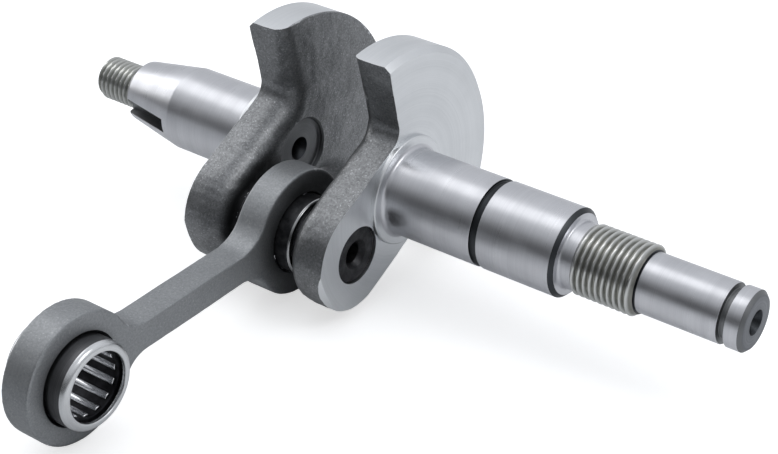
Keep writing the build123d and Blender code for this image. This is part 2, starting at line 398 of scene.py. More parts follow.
class Nodes:
    """Short names for building one material's node tree."""

    def __init__(self, name):
        self.material = bpy.data.materials.new(name)
        self.material.use_nodes = True
        self.tree = self.material.node_tree
        self.surface = self.tree.nodes["Principled BSDF"]
        self.place = self.add("ShaderNodeTexCoord").outputs["Object"]

    def add(self, kind, **settings):
        made = self.tree.nodes.new(kind)
        for key, value in settings.items():
            setattr(made, key, value)
        return made

    def put(self, socket, value):
        if isinstance(value, bpy.types.NodeSocket):
            self.tree.links.new(value, socket)
        else:
            socket.default_value = value

    def math(self, operation, a, b=0.0, clamp=False):
        made = self.add("ShaderNodeMath", operation=operation, use_clamp=clamp)
        self.put(made.inputs[0], a)
        self.put(made.inputs[1], b)
        return made.outputs[0]

    def lathe_place(self, centre, fine, slow):
        """Coordinates that change fast across tool marks and slowly along them, about a line along X."""
        apart = self.add("ShaderNodeSeparateXYZ")
        self.put(apart.inputs[0], self.place)
        y = self.math("SUBTRACT", apart.outputs[1], centre[0] * MM)
        z = self.math("SUBTRACT", apart.outputs[2], centre[1] * MM)
        radius = self.math("SQRT", self.math("ADD", self.math("MULTIPLY", y, y), self.math("MULTIPLY", z, z)))
        along = self.math("MULTIPLY", self.math("ADD", apart.outputs[0], radius), fine / MM)
        joined = self.add("ShaderNodeCombineXYZ")
        self.put(joined.inputs[0], along)
        self.put(joined.inputs[1], self.math("MULTIPLY", y, slow / MM))
        self.put(joined.inputs[2], self.math("MULTIPLY", z, slow / MM))
        return joined.outputs[0], radius

    def noise(self, place, size, detail=3.0, roughness=0.55):
        """Noise of a feature size in millimetres, or of 1 on coordinates that are already scaled."""
        made = self.add("ShaderNodeTexNoise")
        self.put(made.inputs["Vector"], place)
        made.inputs["Scale"].default_value = 1.0 if size is None else 1.0 / (size * MM)
        made.inputs["Detail"].default_value = detail
        made.inputs["Roughness"].default_value = roughness
        return made.outputs["Fac"]

    def ramp(self, value, low, high, bottom=0.0, top=1.0):
        """Maps low..high smoothly to bottom..top."""
        made = self.add("ShaderNodeMapRange", interpolation_type="SMOOTHSTEP")
        self.put(made.inputs["Value"], value)
        made.inputs["From Min"].default_value = low
        made.inputs["From Max"].default_value = high
        made.inputs["To Min"].default_value = bottom
        made.inputs["To Max"].default_value = top
        return made.outputs["Result"]

    def mix(self, share, a, b):
        made = self.add("ShaderNodeMix", data_type="RGBA")
        self.put(made.inputs["Factor"], share)
        colours = [socket for socket in made.inputs if socket.type == "RGBA"]
        self.put(colours[0], a if isinstance(a, bpy.types.NodeSocket) else (*a, 1.0))
        self.put(colours[1], b if isinstance(b, bpy.types.NodeSocket) else (*b, 1.0))
        return [socket for socket in made.outputs if socket.type == "RGBA"][0]

    def bump(self, height, depth, normal=None, strength=1.0):
        """A bump of a depth in millimetres."""
        made = self.add("ShaderNodeBump")
        made.inputs["Strength"].default_value = strength
        made.inputs["Distance"].default_value = depth * MM
        self.put(made.inputs["Height"], height)
        if normal is not None:
            self.put(made.inputs["Normal"], normal)
        return made.outputs["Normal"]

    def finish(self, colour, roughness, normal=None, metallic=1.0, anisotropic=0.0):
        self.put(self.surface.inputs["Base Color"], colour)
        self.put(self.surface.inputs["Roughness"], roughness)
        self.put(self.surface.inputs["Metallic"], metallic)
        if normal is not None:
            self.put(self.surface.inputs["Normal"], normal)
        if anisotropic:
            tangent = self.add("ShaderNodeTangent", direction_type="RADIAL", axis="X")
            self.put(self.surface.inputs["Tangent"], tangent.outputs[0])
            self.surface.inputs["Anisotropic"].default_value = anisotropic
        return self.material


def turned_steel(name, dark, light, rough, mark_depth, mark_size=0.16, centre=crank_centre, anisotropic=0.35):
    """Steel turned or ground about a line along X: fine rings, faint blotches and handling haze."""
    n = Nodes(name)
    rings = n.lathe_place(centre, 1.0 / mark_size, 0.02)[0]
    marks = n.noise(rings, None, 4.0, 0.7)
    broad = n.lathe_place(centre, 0.35, 0.03)[0]
    bands = n.noise(broad, None, 2.0, 0.5)
    haze = n.noise(n.place, 6.0, 3.0, 0.6)
    shade = n.math("ADD", n.math("MULTIPLY", marks, 0.45), n.math("MULTIPLY", bands, 0.3))
    shade = n.math("ADD", shade, n.math("MULTIPLY", haze, 0.25))
    colour = n.mix(n.ramp(shade, 0.35, 0.65), dark, light)
    worked = n.ramp(shade, 0.3, 0.7, rough + 0.05, rough - 0.04)
    roughness = n.math("ADD", worked, n.ramp(haze, 0.45, 0.8, 0.0, 0.07))
    return n.finish(colour, roughness, n.bump(marks, mark_depth), anisotropic=anisotropic)


def forged_steel(name, dark, light, grit, rough=0.5, sparkle=0.5):
    """Shot-cleaned forging: even grit, faint stains, small painted glints, edges brightened partly for wear
    and partly as a painted highlight, and painted shade in its creases.
    """
    n = Nodes(name)
    coarse = n.noise(n.place, 4.0, 3.0, 0.5)
    fine = n.noise(n.place, 0.38, 6.0, 0.7)
    spots = n.noise(n.place, 0.3, 2.0, 0.5)
    body = n.math("ADD", n.math("MULTIPLY", coarse, 0.25), n.math("MULTIPLY", fine, 0.75))
    colour = n.mix(n.ramp(body, 0.28, 0.74), dark, light)
    # painted glints: small spots are painted brighter and made less rough
    bright = tuple(min(1.0, 2.0 * channel) for channel in light)
    glint = n.math("MULTIPLY", n.ramp(spots, 0.60, 0.74), sparkle)
    # convex edges are brightened, partly as edge wear and partly as a painted highlight
    edge = n.add("ShaderNodeNewGeometry").outputs["Pointiness"]
    edge_wear_and_highlight = n.math("MULTIPLY", n.ramp(edge, 0.53, 0.60), 0.7)
    colour = n.mix(n.math("MAXIMUM", glint, edge_wear_and_highlight), colour, bright)
    # painted shade: the colour darkens where ambient occlusion finds a crease or a corner
    crease = n.add("ShaderNodeAmbientOcclusion")
    crease.inputs["Distance"].default_value = painted_shade_reach * MM
    crease_shade = tuple(0.3 * channel for channel in dark)
    colour = n.mix(n.ramp(crease.outputs["AO"], 0.35, 0.85), crease_shade, colour)
    worn = n.ramp(fine, 0.3, 0.7, rough + 0.07, rough - 0.05)
    roughness = n.math("SUBTRACT", worn, n.math("MULTIPLY", glint, 0.12))
    normal = n.bump(fine, grit)
    normal = n.bump(spots, grit * 0.4, normal)
    return n.finish(colour, roughness, normal, metallic=0.9)


def thread_steel(name, radius, root, crest):
    """Cut thread: lighter at the crests, darker and warmer towards the roots."""
    n = Nodes(name)
    rings, reach = n.lathe_place(crank_centre, 4.0, 0.05)
    marks = n.noise(rings, None, 3.0, 0.6)
    height = n.ramp(reach, (radius - thread_depth) * MM, radius * MM)
    stain = n.noise(n.place, 2.5, 2.0, 0.5)
    # darker towards the roots, mottled by stains
    root_tone = n.mix(n.ramp(stain, 0.4, 0.62), root, tuple(1.3 * channel for channel in root))
    colour = n.mix(height, root_tone, crest)
    roughness = n.ramp(height, 0.0, 1.0, 0.42, 0.28)
    return n.finish(colour, roughness, n.bump(marks, 0.008))


def dark_steel(name, dark, light, rough, grit=0.012):
    """Hardened or blackened steel, faintly mottled."""
    n = Nodes(name)
    stain = n.noise(n.place, 1.6, 5.0, 0.6)
    fine = n.noise(n.place, 0.3, 4.0, 0.6)
    colour = n.mix(n.ramp(stain, 0.35, 0.7), dark, light)
    roughness = n.ramp(fine, 0.3, 0.7, rough + 0.08, rough - 0.05)
    return n.finish(colour, roughness, n.bump(fine, grit), metallic=0.9)


def polished_steel(name):
    """Superfinished needle: nearly a mirror, with faint bands along its length."""
    n = Nodes(name)
    apart = n.add("ShaderNodeSeparateXYZ")
    n.put(apart.inputs[0], n.place)
    bands = n.add("ShaderNodeTexNoise", noise_dimensions="1D")
    n.put(bands.inputs["W"], n.math("MULTIPLY", apart.outputs[0], 1.2 / MM))
    colour = n.mix(n.ramp(bands.outputs["Fac"], 0.35, 0.65), (0.70, 0.71, 0.73), (0.82, 0.83, 0.85))
    return n.finish(colour, n.ramp(bands.outputs["Fac"], 0.3, 0.7, 0.20, 0.15))


ground = turned_steel(
    "ground_steel", dark=(0.53, 0.535, 0.56), light=(0.63, 0.635, 0.66), rough=0.29, mark_depth=0.0028
)
faced = turned_steel(
    "faced_steel", dark=(0.65, 0.665, 0.68), light=(0.72, 0.735, 0.75), rough=0.34, mark_depth=0.003,
    mark_size=0.22,
)
# painted shade: near-black steel for grooves, holes, bores and the journal's end chamfer
painted_deep_shade = turned_steel(
    "painted_deep_shade_steel", dark=(0.03, 0.033, 0.037), light=(0.075, 0.08, 0.085), rough=0.36, mark_depth=0.004
)
# painted shade: darker steel for the webs' inner recesses, the keyway walls and the clip groove; the shaft's
# end chamfer takes it too
painted_shade = turned_steel(
    "painted_shade_steel", dark=(0.16, 0.165, 0.17), light=(0.24, 0.245, 0.25), rough=0.4, mark_depth=0.004
)
end_faced = turned_steel(
    "end_face_steel", dark=(0.12, 0.128, 0.14), light=(0.19, 0.198, 0.215), rough=0.38, mark_depth=0.004,
    mark_size=0.3,
)
clutch_threaded = thread_steel(
    "clutch_thread_steel", clutch_thread_radius, root=(0.24, 0.24, 0.22), crest=(0.60, 0.605, 0.59)
)
flywheel_threaded = thread_steel(
    "flywheel_thread_steel", flywheel_thread_radius, root=(0.34, 0.345, 0.325), crest=(0.50, 0.505, 0.485)
)
forged = forged_steel(
    "forged_steel", dark=(0.14, 0.144, 0.148), light=(0.30, 0.307, 0.315), grit=0.034, rough=0.4
)
blasted = forged_steel(
    "blasted_steel", dark=(0.26, 0.27, 0.28), light=(0.345, 0.355, 0.365), grit=0.018, rough=0.5,
    sparkle=0.25,
)
pin_end = dark_steel("hardened_pin_end", dark=(0.02, 0.02, 0.022), light=(0.055, 0.055, 0.058), rough=0.42)
pin_ground = turned_steel(
    "ground_pin", dark=(0.45, 0.45, 0.47), light=(0.58, 0.58, 0.6), rough=0.22, mark_depth=0.003,
    centre=pin_centre,
)
cage_dark = dark_steel("cage_steel", dark=(0.03, 0.031, 0.034), light=(0.075, 0.076, 0.08), rough=0.36)
# painted shade: the small-end cage is near black, darker than the big-end cage, standing in for the shade
# between the needles
inner_cage = dark_steel(
    "shaded_cage_steel", dark=(0.012, 0.012, 0.014), light=(0.03, 0.03, 0.034), rough=0.45
)
# painted highlight: the big-end cage's rims take a brighter steel than its dark body
painted_cage_highlight = turned_steel(
    "painted_cage_highlight_steel", dark=(0.32, 0.325, 0.33), light=(0.42, 0.425, 0.43), rough=0.16, mark_depth=0.002,
    centre=pin_centre,
)
# painted highlight: the cup's ends and rounded rims take a lighter copy of its steel
cup_highlight = turned_steel(
    "cup_highlight_steel", dark=(0.62, 0.63, 0.64), light=(0.74, 0.75, 0.76), rough=0.24, mark_depth=0.003,
    centre=eye_centre,
)
# painted shade: the cup's outer wall and raceway take a darker copy of the same steel
cup_shade = turned_steel(
    "cup_shade_steel", dark=(0.12, 0.12, 0.125), light=(0.2, 0.2, 0.205), rough=0.36, mark_depth=0.004,
    centre=eye_centre,
)
polished = polished_steel("needle_steel")


# ---------------------------------------------------------------- crank halves

def web_blank(side):
    """The forged web before it is turned, with its draft and rounded inner edges."""
    flank_end = -flank_start - (blank_reach - arm_half_width) * tan(flank_slope)
    tip = throw + arm_half_width
    upper = [
        (tip, arm_half_width, arm_half_width),
        (-flank_start, arm_half_width, neck_radius),
        (flank_end, blank_reach, blank_corner),
        (-blank_reach, blank_reach, blank_corner),
    ]
    lower = [(u, -v, radius) for u, v, radius in reversed(upper)]
    outline = dense(rounded(lower + upper, closed=True), 0.7, closed=True)
    along = np.roll(outline, -1, axis=0) - np.roll(outline, 1, axis=0)
    along /= np.linalg.norm(along, axis=1)[:, None]
    outward = np.stack((along[:, 1], -along[:, 0]), axis=1)
    arm_share = np.clip((outline[:, 0] - arm_starts) / arm_fades_in, 0, 1)
    draft = inner_draft[side][0] + (inner_draft[side][1] - inner_draft[side][0]) * arm_share
    radius = inner_radius[side][0] + (inner_radius[side][1] - inner_radius[side][0]) * arm_share
    ridge = (web_outer - parting_line) * tan(outer_draft)
    rings = [
        (blank_outer, np.full(len(outline), (blank_outer - web_outer) * tan(outer_draft))),
        (parting_line, np.full(len(outline), -ridge)),
    ]
    for turn in np.linspace(0, pi / 2, 8):
        rise = radius * (1 - sin(turn))
        slant = np.tan(draft) * np.clip(parting_line - web_inner - rise, 0, None)
        inset = radius * (1 - cos(turn)) + slant - ridge
        rings.append((web_inner + rise, inset))
    points = []
    for x, inset in rings:
        flat = outline - outward * inset[:, None]
        y = flat[:, 0] * cos(throw_angle) - flat[:, 1] * sin(throw_angle)
        z = flat[:, 0] * sin(throw_angle) + flat[:, 1] * cos(throw_angle)
        points += list(zip(side * np.broadcast_to(x, y.shape), y, z))
    return new_object("web", points, loft_faces(len(rings), len(outline)))


def mirrored(profile, side):
    """A profile drawn for the clutch side, moved to its own side of the crank."""
    return [(side * x, *rest) for x, *rest in profile]


def clutch_shaft_profile():
    """Outline of the clutch-side shaft, from the web to its end."""
    gap = 0.12
    return [
        (web_outer - 1.5, 0, 0),
        (web_outer - 1.5, shoulder_radius, 0),
        (web_outer + shoulder_height, shoulder_radius, shoulder_edge),
        (web_outer + shoulder_height, journal_radius, journal_root),
        (ring_groove[0], journal_radius, gap),
        (ring_groove[0], ring_groove_radius, gap),
        (ring_groove[1], ring_groove_radius, gap),
        (ring_groove[1], journal_radius, gap),
        (journal_end - journal_end_break, journal_radius, 0.1),
        (journal_end, journal_radius - journal_end_break, 0.1),
        (journal_end, clutch_neck_radius, clutch_neck_root),
        (clutch_thread[0], clutch_neck_radius, gap),
        (clutch_thread[0] + 0.35, clutch_thread_radius, 0.0),
        (clutch_thread[1] - 0.35, clutch_thread_radius, 0.0),
        (clutch_thread[1], clutch_thread_radius - 0.7, 0.0),
        (clutch_relief[0], clutch_relief_radius, 0.1),
        (clutch_relief[1], clutch_relief_radius, 0.1),
        (clutch_relief[1], stub_radius, 0.1),
        (clip_groove[0], stub_radius, gap),
        (clip_groove[0], clip_groove_radius, gap),
        (clip_groove[1], clip_groove_radius, gap),
        (clip_groove[1], stub_radius, gap),
        (clutch_end - end_break, stub_radius, 0.1),
        (clutch_end, stub_radius - end_break, 0.1),
        (clutch_end, 0, 0),
    ]


def flywheel_shaft_profile():
    """Outline of the flywheel-side shaft, drawn on the clutch side."""
    return [
        (web_outer - 1.5, 0, 0),
        (web_outer - 1.5, shoulder_radius, 0),
        (web_outer + shoulder_height, shoulder_radius, shoulder_edge),
        (web_outer + shoulder_height, journal_radius, journal_root),
        (taper[0], journal_radius, 1.5),
        (taper[1] - taper_break, taper_end_radius, 0.08),
        (taper[1], taper_end_radius - taper_break, 0.08),
        (taper[1], flywheel_neck_radius, 0.12),
        (flywheel_thread[0], flywheel_neck_radius, 0.1),
        (flywheel_thread[0] + 0.5, flywheel_thread_radius, 0.0),
        (flywheel_thread[1] - 0.7, flywheel_thread_radius, 0.0),
        (flywheel_thread[1], flywheel_thread_radius - 0.8, 0.15),
        (flywheel_thread[1], 0, 0),
    ]


def shaft(side):
    """One shaft, with a real helical thread."""
    if side == CLUTCH:
        profile, zone, radius, hand = clutch_shaft_profile(), clutch_thread, clutch_thread_radius, -1
        crest = clutch_first_crest
    else:
        profile, zone, radius, hand = flywheel_shaft_profile(), flywheel_thread, flywheel_thread_radius, 1
        crest = flywheel_first_crest
    outline = rounded(profile, turn=radians(15))
    inside = (outline[:, 0] > zone[0]) & (outline[:, 0] < zone[1]) & (abs(outline[:, 1] - radius) < 0.01)
    first = int(np.argmax(inside))
    stretch = dense(outline[first:first + 2], thread_pitch / 14)
    outline = np.concatenate((outline[:first], stretch, outline[first + 2:]))
    thread = (side * zone[0], side * zone[1], crest, side * thread_pitch, thread_depth, hand)
    outline = outline * np.array((side, 1))
    return lathe("shaft", outline, segments=144, thread=thread)


def centre_drill(face, inward, centre=crank_centre, length=2.0):
    """The tool that leaves a centre hole in a face at x, going inward (+1 or -1)."""
    radius, mouth, depth = centre_hole
    profile = [
        (face - inward * length, 0),
        (face - inward * length, mouth),
        (face, mouth),
        (face + inward * (mouth - radius) / tan(centre_hole_angle / 2), radius),
        (face + inward * depth, radius),
        (face + inward * (depth + centre_hole_tip), 0),
    ]
    return lathe("drill", profile, centre, 48)


def keyway_tool():
    """The keyway's volume, flared where its edges were broken with a file."""
    points = []
    stations = np.linspace(keyway_end, taper[1] + keyway_overrun, 10)
    slope = (journal_radius - taper_end_radius) / (taper[1] - taper[0])
    outer = keyway_tool_reach
    for x in stations:
        reach = journal_radius - slope * (min(x, taper[1]) - taper[0])
        lip = (reach ** 2 - keyway_half_width ** 2) ** 0.5 - keyway_break
        flare = keyway_half_width + (outer - lip)
        section = [
            (keyway_half_width, keyway_floor),
            (keyway_half_width, lip),
            (flare, outer),
            (-flare, outer),
            (-keyway_half_width, lip),
            (-keyway_half_width, keyway_floor),
        ]
        for across, height in section:
            y = height * cos(keyway_angle) - across * sin(keyway_angle)
            z = height * sin(keyway_angle) + across * cos(keyway_angle)
            points.append((-x, y, z))
    return new_object("keyway", points, loft_faces(len(stations), len(section)))


def turning_envelope(side):
    """What the lathe leaves of the blank: the rim, its bevel and the outer face."""
    profile = [
        (web_inner - 2, 0),
        (web_inner - 2, rim_radius - rim_break),
        (web_inner, rim_radius - rim_break),
        (web_inner + rim_break, rim_radius),
        (web_outer - rim_bevel, rim_radius),
        (web_outer, rim_radius - rim_bevel),
        (web_outer, 0),
    ]
    return lathe("envelope", mirrored(profile, side), segments=288)


def crank_half(side):
    """One crank half: forged web, turned rim and faces, ground shaft, bored for the pin."""
    web = remesh(web_blank(side), blank_voxel, 2)
    roughen(web, forging_grain, forging_seed[side])
    half = combine(web, turning_envelope(side), "INTERSECT")
    combine(half, shaft(side), "UNION")
    recess = [
        (web_inner - 1, 0, 0),
        (web_inner - 1, recess_radius + recess_chamfer + 1, 0),
        (web_inner + recess_chamfer, recess_radius, 0),
        (web_inner + recess_depth, recess_radius, 0.25),
        (web_inner + recess_depth, 0, 0),
    ]
    combine(half, lathe("recess", mirrored(rounded(recess), side), segments=72), "DIFFERENCE")
    combine(half, centre_drill(side * (web_inner + recess_depth), side), "DIFFERENCE")
    far_end = clutch_end if side == CLUTCH else -flywheel_end
    combine(half, centre_drill(far_end, -side), "DIFFERENCE")
    near, far = (side * reach for reach in pin_bore_reach)
    bore = [(near, 0), (near, pin_radius), (far, pin_radius), (far, 0)]
    combine(half, lathe("bore", bore, pin_centre, 96), "DIFFERENCE")
    if side == FLYWHEEL:
        combine(half, keyway_tool(), "DIFFERENCE")
    return half


FORGED, FACED, GROUND, THREADED, DEEP_SHADE, SHADED, END = range(7)
turned_margin = 0.04          # how near a face's centre lies to the surface it belongs to
face_margin = 0.03
zone_margin = 0.02
drill_margin = 0.05
hollow_margin = 0.1
square_on = 0.9               # least x part of the normal of an end face, and of a chamfer
leaning = 0.3
relief_drop = 0.65            # the thread's last turn is shaded below this depth


def half_zones(side):
    """Chooser of the material of each face of a crank half."""
    def choose(centre, normal):
        x = side * centre[:, 0]
        nx = side * normal[:, 0]
        radius = np.hypot(centre[:, 1], centre[:, 2])
        from_pin = np.hypot(centre[:, 1] - pin_centre[0], centre[:, 2] - pin_centre[1])

        def between(low, high):
            return (x > low) & (x < high)

        drilled = radius < centre_hole[1] + drill_margin
        rim = abs(radius - rim_radius) < turned_margin
        bevel = abs(radius + x - (rim_radius + web_outer - rim_bevel)) < turned_margin
        face = (abs(x - web_outer) < face_margin) & (nx > square_on)
        shaft_start = web_outer + face_margin
        shoulder_end = web_outer + shoulder_height
        index = np.full(len(x), FORGED)
        index[rim | (bevel & (nx > leaning)) | face] = FACED
        # painted shade: the inner recess takes the darker steel
        index[(radius < recess_radius + recess_chamfer) & (x < web_inner + centre_hole[2] + 1.5)] = SHADED
        # painted shade: the holes, the ring groove, the journal's end chamfer and the thread relief take
        # near-black steel
        index[drilled & between(web_inner + recess_depth + hollow_margin, web_outer)] = DEEP_SHADE
        index[(from_pin < pin_radius + face_margin) & (x < shoulder_end + hollow_margin)] = FACED
        index[x > shaft_start] = GROUND
        index[between(shaft_start, shoulder_end + zone_margin)] = FACED
        if side == CLUTCH:
            ring_zone = between(ring_groove[0] - zone_margin, ring_groove[1] + zone_margin)
            index[ring_zone & (radius < journal_radius - hollow_margin)] = DEEP_SHADE
            chamfered = (nx > leaning) & (nx < 0.95)
            chamfered &= radius > journal_radius - journal_end_break - drill_margin
            index[between(journal_end - journal_end_break, clutch_thread[0]) & chamfered] = DEEP_SHADE
            index[(x >= clutch_thread[0]) & (x < clutch_thread[1] + face_margin)] = THREADED
            relief = between(clutch_thread[1] - hollow_margin, clutch_relief[1] - zone_margin)
            index[relief & (radius < clutch_thread_radius - relief_drop)] = DEEP_SHADE
            clip_zone = between(clip_groove[0] - zone_margin, clip_groove[1] + zone_margin)
            index[clip_zone & (radius < stub_radius - hollow_margin)] = SHADED
            index[(x > clutch_end - end_break - hollow_margin) & (nx > leaning)] = SHADED
        else:
            key = centre[:, 1] * cos(keyway_angle) + centre[:, 2] * sin(keyway_angle)
            aside = abs(-centre[:, 1] * sin(keyway_angle) + centre[:, 2] * cos(keyway_angle))
            in_key = between(keyway_end - zone_margin, taper[1]) & (aside < keyway_half_width + zone_margin)
            in_key &= (key > keyway_floor - hollow_margin) & (key < keyway_shade_top)
            index[in_key & (radius < journal_radius + hollow_margin)] = SHADED
            index[x >= taper[1] + zone_margin] = THREADED
        end = clutch_end if side == CLUTCH else flywheel_end
        index[(x > end - drill_margin) & (nx > square_on)] = END
        index[drilled & (x > end - centre_hole[2] - 1) & (nx < 0.99)] = DEEP_SHADE
        return index
    return choose


for side, body_name in ((CLUTCH, "clutch"), (FLYWHEEL, "flywheel")):
    half = crank_half(side)
    half.name = f"{body_name}_half_forging"
    threaded = clutch_threaded if side == CLUTCH else flywheel_threaded
    paint(half, (forged, faced, ground, threaded, painted_deep_shade, painted_shade, end_faced), half_zones(side))
    finish_piece(half, "crank", [f"{body_name}_side_crank_half"])


# ---------------------------------------------------------------- crankpin

def crankpin_piece():
    half_length = pin_half.x
    profile = [
        (half_length - pin_mouth_depth, pin_bore_radius, 0.1),
        (half_length, pin_mouth_radius, 0.1),
        (half_length, pin_radius, pin_edge),
        (-half_length, pin_radius, pin_edge),
        (-half_length, pin_mouth_radius, 0.1),
        (pin_mouth_depth - half_length, pin_bore_radius, 0.1),
    ]
    pin = lathe("hollow_pin", rounded(profile, closed=True), pin_centre, 96, closed=True)

    def choose(centre, normal):
        from_pin = np.hypot(centre[:, 1] - pin_centre[0], centre[:, 2] - pin_centre[1])
        outside = from_pin > pin_radius - 0.02
        return np.where(outside, 1, 0)

    paint(pin, (pin_end, pin_ground), choose)
    return finish_piece(pin, "crank", ["crankpin"])


crankpin_piece()


# ---------------------------------------------------------------- connecting rod

def eye_arc(middle, radius, blend, toward):
    """Points of one eye and of its blends into the beam, counterclockwise."""
    reach = ((radius + blend) ** 2 - (beam_half_width + blend) ** 2) ** 0.5
    height = beam_half_width + blend
    open_angle = atan2(height, reach)
    points = []
    for angle in np.linspace(-pi / 2, open_angle - pi, 9):
        points.append((reach + blend * cos(angle), height + blend * sin(angle)))
    for angle in np.linspace(open_angle, 2 * pi - open_angle, 80)[1:-1]:
        points.append((radius * cos(angle), radius * sin(angle)))
    for angle in np.linspace(pi - open_angle, pi / 2, 9):
        points.append((reach + blend * cos(angle), -height + blend * sin(angle)))
    return [(middle + toward * u, toward * v) for u, v in points]


def rod_blank():
    """The rod's outline as a plate with broken edges."""
    outline = eye_arc(0, big_eye_radius, big_eye_blend, 1)
    outline += eye_arc(rod_length, small_eye_radius, small_eye_blend, -1)
    outline = dense(np.array(outline), 0.8, closed=True)
    along = np.roll(outline, -1, axis=0) - np.roll(outline, 1, axis=0)
    along /= np.linalg.norm(along, axis=1)[:, None]
    outward = np.stack((along[:, 1], -along[:, 0]), axis=1)
    half = rod_half.x
    rings = [(half - rod_edge * (1 - cos(a)), rod_edge * (1 - sin(a))) for a in np.linspace(0, pi / 2, 5)]
    rings += [(-x, inset) for x, inset in reversed(rings)]
    points = []
    for x, inset in rings:
        flat = outline - outward * inset
        y = pin_centre[0] + flat[:, 0] * cos(rod_angle) - flat[:, 1] * sin(rod_angle)
        z = pin_centre[1] + flat[:, 0] * sin(rod_angle) + flat[:, 1] * cos(rod_angle)
        points += list(zip(np.full(len(y), x), y, z))
    return new_object("rod_forging", points, loft_faces(len(rings), len(outline)))


def eye_bore(centre, radius, chamfer):
    """The tool that bores and chamfers one eye."""
    half = rod_half.x
    past = 1.5
    profile = [
        (-half - past, 0),
        (-half - past, radius + chamfer + past),
        (-half + chamfer, radius),
        (half - chamfer, radius),
        (half + past, radius + chamfer + past),
        (half + past, 0),
    ]
    return lathe("bore", profile, centre, 128)


def rod_piece():
    rod = remesh(rod_blank(), rod_voxel, 1)
    roughen(rod, rod_grain, rod_seed)
    combine(rod, eye_bore(pin_centre, big_seat_radius, big_eye_chamfer), "DIFFERENCE")
    combine(rod, eye_bore(eye_centre, small_seat_radius, small_eye_chamfer), "DIFFERENCE")

    def choose(centre, normal):
        from_pin = np.hypot(centre[:, 1] - pin_centre[0], centre[:, 2] - pin_centre[1])
        from_eye = np.hypot(centre[:, 1] - eye_centre[0], centre[:, 2] - eye_centre[1])
        bore = from_pin < big_seat_radius + big_eye_chamfer + drill_margin
        bore |= from_eye < small_seat_radius + small_eye_chamfer
        return np.where(bore, 1, 0)

    # the bores and their chamfers take the near-black painted shade steel
    paint(rod, (blasted, painted_deep_shade), choose)
    return finish_piece(rod, "rod", ["connecting_rod"])


rod_piece()


# ---------------------------------------------------------------- needle bearings

def needle_centres(centre, pitch_radius, phase, count):
    step = 2 * pi / count
    return [
        (centre[0] + pitch_radius * cos(phase + step * k), centre[1] + pitch_radius * sin(phase + step * k))
        for k in range(count)
    ]


def ring(name, half_length, inner, outer, edge, centre):
    """A plain turned ring with rounded outer edges."""
    corners = [
        (-half_length, inner, 0.1),
        (-half_length, outer, edge),
        (half_length, outer, edge),
        (half_length, inner, 0.1),
    ]
    return lathe(name, rounded(corners, closed=True), centre, 128, closed=True)


def cage_piece(name, node, centre, inner, half, centres, needle_half, edge, dark, rim_steel):
    """A bearing cage: a ring with a pocket for each needle."""
    cage = ring(name, half.x, inner, half.y, edge, centre)
    reach = needle_half.x + 3 * pocket_clearance
    radius = needle_half.y + pocket_clearance
    for at in centres:
        pocket = [(-reach, 0), (-reach, radius), (reach, radius), (reach, 0)]
        combine(cage, lathe("pocket", pocket, at, 24), "DIFFERENCE")

    def choose(centre, normal):
        # the rims take the second, brighter steel, as a painted highlight
        rim = abs(centre[:, 0]) > half.x - edge - 0.05
        return np.where(rim, 1, 0)

    paint(cage, (dark, rim_steel), choose)
    return finish_piece(cage, node, [node])


def needle_piece(name, node, centre, radius, half_length):
    """One needle with rounded ends."""
    corners = [
        (-half_length, 0, 0),
        (-half_length, radius, 0.25 * radius),
        (half_length, radius, 0.25 * radius),
        (half_length, 0, 0),
    ]
    needle = lathe(name, rounded(corners, turn=radians(22)), centre, 28)
    paint(needle, (polished,), lambda centre, normal: np.zeros(len(centre)))
    return finish_piece(needle, node, [node])


def cup_piece():
    """The drawn cup of the small-end bearing, its lips turned in over the needles."""
    half = cup_half.x
    lip = half - cup_lip_thickness
    corners = [
        (-half, cup_lip_radius, cup_lip_edge),
        (-half, small_seat_radius, cup_edge),
        (half, small_seat_radius, cup_edge),
        (half, cup_lip_radius, cup_lip_edge),
        (lip, cup_lip_radius, cup_lip_edge),
        (lip, cup_raceway_radius, 0.2),
        (-lip, cup_raceway_radius, 0.2),
        (-lip, cup_lip_radius, cup_lip_edge),
    ]
    cup = lathe("needle_cup", rounded(corners, closed=True), eye_centre, 128, closed=True)

    def choose(centre, normal):
        # the ends take the lighter painted copy, the wall and raceway the darker one
        end = abs(centre[:, 0]) > half - cup_edge * 0.9
        return np.where(end, 0, 1)

    paint(cup, (cup_highlight, cup_shade), choose)
    return finish_piece(cup, "rod", ["small_end_cup"])


cup_piece()
for end, centre, pitch_radius, phase, inner, cage_half, edge, steels in (
    (
        "big", pin_centre, big_needle_pitch_radius, big_needle_phase,
        big_cage_inner, big_cage_half, cage_edge, (cage_dark, painted_cage_highlight),
    ),
    (
        "small", eye_centre, small_needle_pitch_radius, small_needle_phase,
        small_cage_inner, small_cage_half, inner_cage_edge, (inner_cage, inner_cage),
    ),
):
    centres = needle_centres(centre, pitch_radius, phase, needle_count[end])
    needle_half = middle_and_half(f"{end}_end_needle_01")[1]
    cage_piece(
        f"{end}_cage", f"{end}_end_cage", centre, inner, cage_half, centres, needle_half, edge, *steels
    )
    for index, at in enumerate(centres, start=1):
        name = f"{end}_needle_{index:02d}"
        needle_piece(name, f"{end}_end_needle_{index:02d}", at, needle_half.y, needle_half.x)


# ---------------------------------------------------------------- stage

camera_azimuth = radians(36.66)
camera_elevation = radians(32.21)
camera_distance = 314.3
camera_right = 8.979
camera_up = -10.96
camera_lens = 85.68
camera_sensor = 36.0
floor_size = 6.0                      # metres
floor_fade_direction = (0.6, 0.8)     # away from the camera, the floor reflects more
floor_fade = (-0.10, 0.0)
floor_glow = 0.6
dome_lean = (0.0, 0.25, 0.425)
dome_stops = ((0.3, 0.05), (0.42, 0.08), (0.52, 0.27), (0.64, 0.58), (0.8, 0.72), (1.0, 0.8))
dome_tint = (0.97, 0.995, 1.04)


